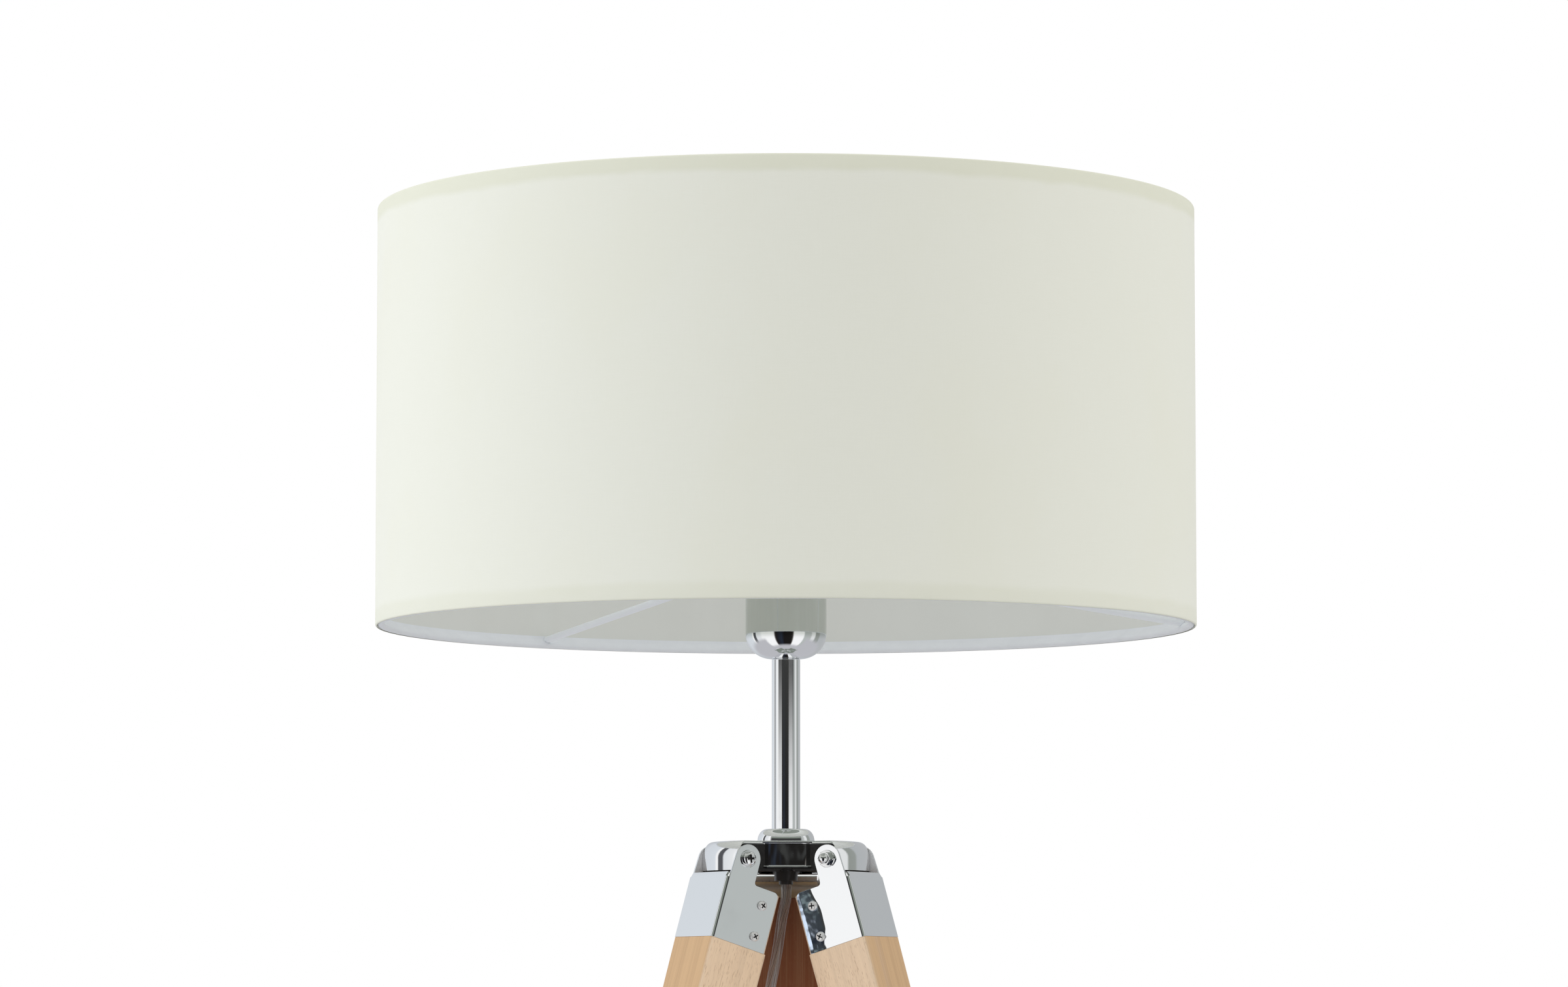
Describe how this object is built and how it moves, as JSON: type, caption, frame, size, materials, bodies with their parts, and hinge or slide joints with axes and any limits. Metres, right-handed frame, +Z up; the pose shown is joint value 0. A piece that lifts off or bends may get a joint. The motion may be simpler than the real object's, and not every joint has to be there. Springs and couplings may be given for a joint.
{
  "type": "tripod floor lamp",
  "caption": "Floor lamp on three splayed beech legs in chromed sheet shoes, hinged to a cast head, with a chromed stem and lampholder under a tall drum shade of ivory cloth.",
  "frame": {"origin": "on the floor, at the middle of the footprint of the lamp without its cord; the lamp's own axis stands 76.2 mm in front of it, because the back leg reaches further than the shade does at the front", "axes": "+Z up; the back leg points along +Y, the other two to the front left and front right; +X to the right of someone who stands in front of the lamp"},
  "size_m": [0.6674, 0.6024, 1.5],
  "materials": {
    "chromed_casting": "mirror bright chrome plate on a zinc casting",
    "chromed_tube": "mirror bright chrome plate on drawn steel",
    "chromed_sheet": "mirror bright chrome plate on folded steel sheet",
    "zinc_steel": "zinc plated steel",
    "black_plastic": "black satin plastic",
    "holder_plastic": "white heat-resistant plastic",
    "contact_brass": "bright brass",
    "painted_wire": "white powder coat",
    "shade_styrene": "matt white styrene sheet",
    "shade_fabric": "ivory woven cotton, smooth and matt",
    "beech": "clear satin lacquer on solid beech",
    "felt": "dark pressed felt",
    "cord_pvc": "clear PVC over two cores",
    "switch_plastic": "white gloss plastic",
    "button_plastic": "light grey gloss plastic",
    "plug_metal": "nickel plated pins"
  },
  "bodies": {
    "lamp_head": {"tripod_head": "chromed_casting", "stem_collar": "chromed_casting", "stem_tube": "chromed_tube", "threaded_pipe": "zinc_steel", "pipe_washer": "zinc_steel", "pipe_nut": "zinc_steel", "cord_bush": "black_plastic", "inner_wires": "cord_pvc", "lampholder_cup": "chromed_tube", "cup_nut": "zinc_steel", "lampholder_body": "holder_plastic", "screw_shell": "contact_brass", "centre_contact": "contact_brass", "terminal_screws": "contact_brass", "shade_ring_nut": "holder_plastic", "shade_carrier": "painted_wire", "shade_top_ring": "painted_wire", "shade_liner": "shade_styrene", "shade_cloth": "shade_fabric", "shade_hem_top": "shade_fabric", "shade_hem_bottom": "shade_fabric", "cord_drop": "cord_pvc", "cord_lead": "cord_pvc", "cord_coil": "cord_pvc", "cord_tail": "cord_pvc", "coil_tie": "black_plastic", "switch_base": "switch_plastic", "switch_cover": "switch_plastic", "switch_contacts": "contact_brass", "switch_screws": "zinc_steel", "plug_body": "switch_plastic", "plug_pins": "plug_metal"},
    "left_leg": {"leg_left": "beech", "shoe_left": "chromed_sheet", "shoe_screws_left": "zinc_steel", "pivot_bolt_left": "zinc_steel", "pivot_nut_left": "zinc_steel", "foot_pad_left": "felt"},
    "right_leg": {"leg_right": "beech", "shoe_right": "chromed_sheet", "shoe_screws_right": "zinc_steel", "pivot_bolt_right": "zinc_steel", "pivot_nut_right": "zinc_steel", "foot_pad_right": "felt"},
    "back_leg": {"leg_back": "beech", "shoe_back": "chromed_sheet", "shoe_screws_back": "zinc_steel", "pivot_bolt_back": "zinc_steel", "pivot_nut_back": "zinc_steel", "foot_pad_back": "felt"},
    "foot_button": {"switch_button": "button_plastic"}
  },
  "joints": [
    {"name": "left_leg_fold", "type": "hinge", "parent": "lamp_head", "child": "left_leg", "pos_m": [-0.03144, -0.0944, 1.1425], "axis": [0.5, -0.866, 0], "range_deg": [0, 12]},
    {"name": "right_leg_fold", "type": "hinge", "parent": "lamp_head", "child": "right_leg", "pos_m": [0.03144, -0.0944, 1.1425], "axis": [0.5, 0.866, 0], "range_deg": [0, 12]},
    {"name": "back_leg_fold", "type": "hinge", "parent": "lamp_head", "child": "back_leg", "pos_m": [0, -0.03995, 1.1425], "axis": [-1, 0, 0], "range_deg": [0, 12]},
    {"name": "foot_button_press", "type": "slide", "parent": "lamp_head", "child": "foot_button", "axis": [0, 0, -1], "range_m": [0, 0.002], "stiffness_N_per_m": 400}
  ]
}
